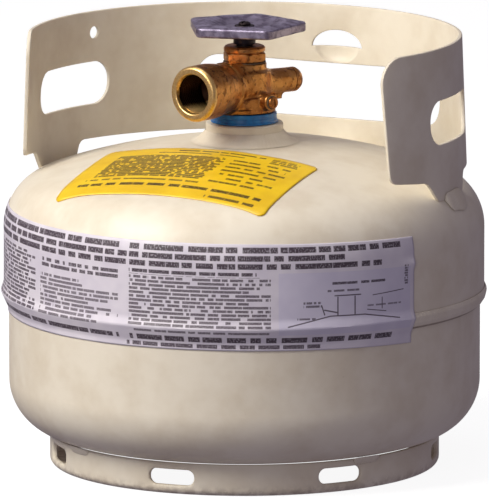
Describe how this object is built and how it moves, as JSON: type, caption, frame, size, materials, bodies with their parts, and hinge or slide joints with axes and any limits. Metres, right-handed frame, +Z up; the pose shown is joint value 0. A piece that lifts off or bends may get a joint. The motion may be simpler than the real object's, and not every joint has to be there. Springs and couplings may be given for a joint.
{
  "type": "propane tank",
  "caption": "Squat refillable gas cylinder for a caravan: two-piece steel shell on a slotted foot ring, wrap-around collar with hand holes, brass valve with side outlet and handwheel.",
  "frame": {"origin": "floor level under the middle of the foot ring, on the valve's axis", "axes": "+Z up along the valve stem; the collar opens and the outlet points towards -Y"},
  "size_m": [0.3136, 0.3143, 0.2885],
  "materials": {
    "ivory_paint": "satin baked enamel over steel",
    "brass": "forged and machined, slightly dull",
    "cast_wheel": "die cast, satin, greyish",
    "dark_stem": "darkened steel",
    "steel": "zinc plated",
    "rubber": "matte",
    "blue_seal": "smooth",
    "fibre": "pressed fibre",
    "white_label": null,
    "yellow_label": null
  },
  "bodies": {
    "cylinder": {"upper_shell": "ivory_paint", "lower_shell": "ivory_paint", "girth_weld": "ivory_paint", "valve_boss": "ivory_paint", "boss_weld": "ivory_paint", "foot_ring": "ivory_paint", "foot_weld_1": "ivory_paint", "foot_weld_2": "ivory_paint", "foot_weld_3": "ivory_paint", "foot_weld_4": "ivory_paint", "collar": "ivory_paint", "collar_weld_right": "ivory_paint", "collar_weld_left": "ivory_paint", "collar_weld_back": "ivory_paint", "wrap_label": "white_label", "dome_label": "yellow_label", "thread_seal": "blue_seal", "valve_body": "brass", "bonnet": "brass", "bonnet_gasket": "fibre", "dip_tube": "brass", "relief_cap": "brass"},
    "handwheel": {"handwheel": "cast_wheel", "handwheel_washer": "steel", "handwheel_screw": "steel", "upper_stem": "dark_stem", "stem_o_ring": "rubber"},
    "seat_carrier": {"lower_spindle": "brass", "seat_disc": "rubber"},
    "relief_poppet": {"relief_poppet": "brass", "relief_disc": "rubber", "relief_spring": "steel"},
    "bleeder_washer": {"bleeder_washer": "fibre"},
    "bleeder_screw": {"bleeder_screw": "brass"}
  },
  "joints": [
    {"name": "handwheel_turn", "type": "hinge", "parent": "cylinder", "child": "handwheel", "pos_m": [0, 0, 0.28], "axis": [0, 0, 1], "range_deg": [0, 720]},
    {"name": "spindle_lift", "type": "slide", "parent": "handwheel", "child": "seat_carrier", "axis": [0, 0, 1], "range_m": [0, 0.0024]},
    {"name": "relief_lift", "type": "slide", "parent": "cylinder", "child": "relief_poppet", "axis": [0.4848, 0.8746, 0], "range_m": [0, 0.0018], "stiffness_N_per_m": 800, "springref_m": -0.002},
    {"name": "bleeder_back_out", "type": "slide", "parent": "cylinder", "child": "bleeder_washer", "axis": [0.9397, -0.342, 0], "range_m": [0, 0.0008]},
    {"name": "bleeder_turn", "type": "hinge", "parent": "bleeder_washer", "child": "bleeder_screw", "pos_m": [0.0249, -0.00906, 0.2378], "axis": [0.9397, -0.342, 0], "range_deg": [0, 360]}
  ],
  "couplings": [
    {"joint": "spindle_lift", "follows": "handwheel_turn", "m_per_rad": 0.00019098},
    {"joint": "bleeder_turn", "follows": "bleeder_back_out", "rad_per_m": 7854}
  ]
}
